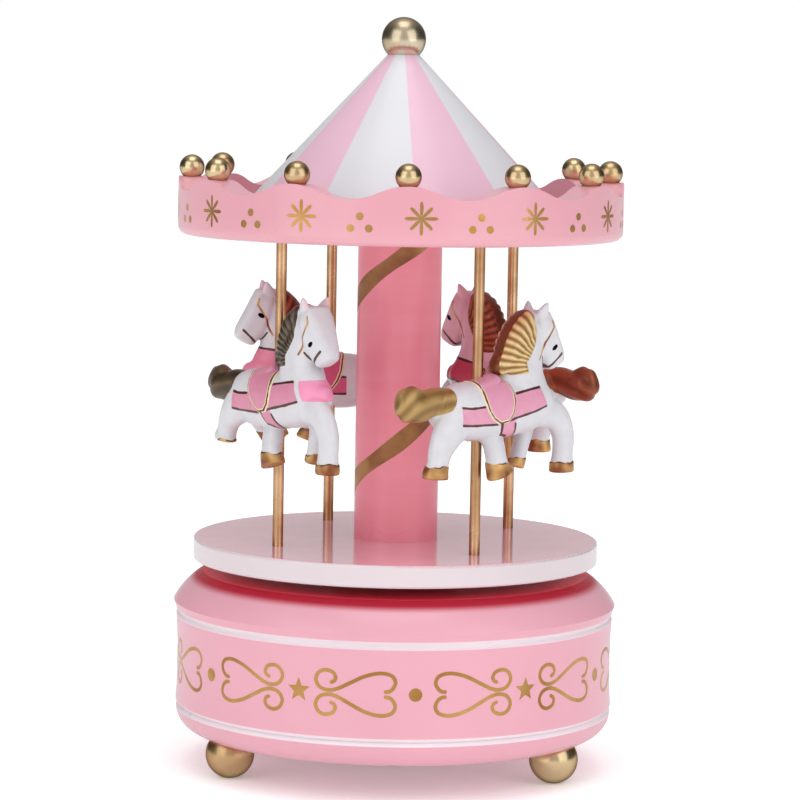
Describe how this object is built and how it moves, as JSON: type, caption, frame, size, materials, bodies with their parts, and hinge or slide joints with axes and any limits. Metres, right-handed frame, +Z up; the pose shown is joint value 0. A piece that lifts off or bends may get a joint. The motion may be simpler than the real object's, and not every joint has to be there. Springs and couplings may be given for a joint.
{
  "type": "wind-up music box",
  "caption": "Wooden carousel music box: horses on poles between a turning platform and a striped scalloped canopy, on a round drum that holds a wind-up movement.",
  "frame": {"origin": "on the table under the centre of the drum, at the bottom of the feet", "axes": "+Z up along the turning axis, -Y towards the viewer in the picture, +X to the viewer's right"},
  "size_m": [0.107, 0.107, 0.1806],
  "materials": {
    "pink_lacquer": "satin lacquer over turned wood",
    "column_lacquer": "satin lacquer with a painted gold ribbon",
    "platform_lacquer": "gloss lacquer over board",
    "cone_lacquer": "satin lacquer in pink and white stripes",
    "gold_lacquer": "satin gold lacquer on turned wood",
    "pole_gold": "copper-gold lacquer",
    "horse_paint": "moulded and hand painted",
    "brass": "turned",
    "steel": "machined",
    "cast": "cast and painted",
    "nylon": "moulded"
  },
  "bodies": {
    "base": {"base_drum": "pink_lacquer", "bottom_board": "pink_lacquer", "foot_back": "gold_lacquer", "foot_front_left": "gold_lacquer", "foot_front_right": "gold_lacquer", "foot_screws": "steel", "board_screws": "steel", "spindle_bush": "brass", "thrust_washer": "nylon", "bedplate": "cast", "movement_screws": "steel", "click": "steel", "click_screw": "steel", "inner_bracket": "brass", "outer_bracket": "brass", "bracket_screws": "steel", "comb": "steel", "comb_screws": "steel", "governor_frame": "brass", "governor_screws": "steel"},
    "winding": {"wind_up_key": "brass", "winding_arbor": "steel", "ratchet_wheel": "steel"},
    "carousel": {"platform": "platform_lacquer", "column": "column_lacquer", "pole_front_left": "pole_gold", "pole_front_right": "pole_gold", "pole_back_right": "pole_gold", "pole_back_left": "pole_gold", "horse_front_left": "horse_paint", "horse_front_right": "horse_paint", "horse_back_right": "horse_paint", "horse_back_left": "horse_paint", "canopy_rim": "pink_lacquer", "rim_balls": "gold_lacquer", "canopy_cone": "cone_lacquer", "finial_ball": "gold_lacquer", "hub_plate": "steel", "hub_screws": "steel", "drive_spindle": "steel", "spring_barrel": "brass", "barrel_lid": "brass", "mainspring": "steel"},
    "cylinder": {"pinned_cylinder": "brass", "cylinder_arbor": "steel", "cylinder_pinion": "brass", "cylinder_gear": "brass"},
    "second_wheel": {"second_arbor": "steel", "worm_wheel": "nylon"},
    "governor": {"governor_worm": "steel", "governor_fan": "brass"}
  },
  "joints": [
    {"name": "carousel_spin", "type": "hinge", "parent": "base", "child": "carousel", "pos_m": [0, 0, 0], "axis": [0, 0, 1], "continuous": true},
    {"name": "key_wind", "type": "hinge", "parent": "base", "child": "winding", "pos_m": [0, 0, 0], "axis": [0, 0, 1], "range_deg": [0, 1800]},
    {"name": "cylinder_spin", "type": "hinge", "parent": "base", "child": "cylinder", "pos_m": [0, 0, 0.02699], "axis": [1, 0, 0], "continuous": true},
    {"name": "second_wheel_spin", "type": "hinge", "parent": "base", "child": "second_wheel", "pos_m": [0, 0.01, 0.02699], "axis": [1, 0, 0], "continuous": true},
    {"name": "governor_spin", "type": "hinge", "parent": "base", "child": "governor", "pos_m": [0.03445, 0.018, 0], "axis": [0, 0, 1], "continuous": true}
  ],
  "couplings": [
    {"joint": "cylinder_spin", "follows": "carousel_spin", "ratio": 3},
    {"joint": "second_wheel_spin", "follows": "carousel_spin", "ratio": -12},
    {"joint": "governor_spin", "follows": "carousel_spin", "ratio": 288}
  ]
}
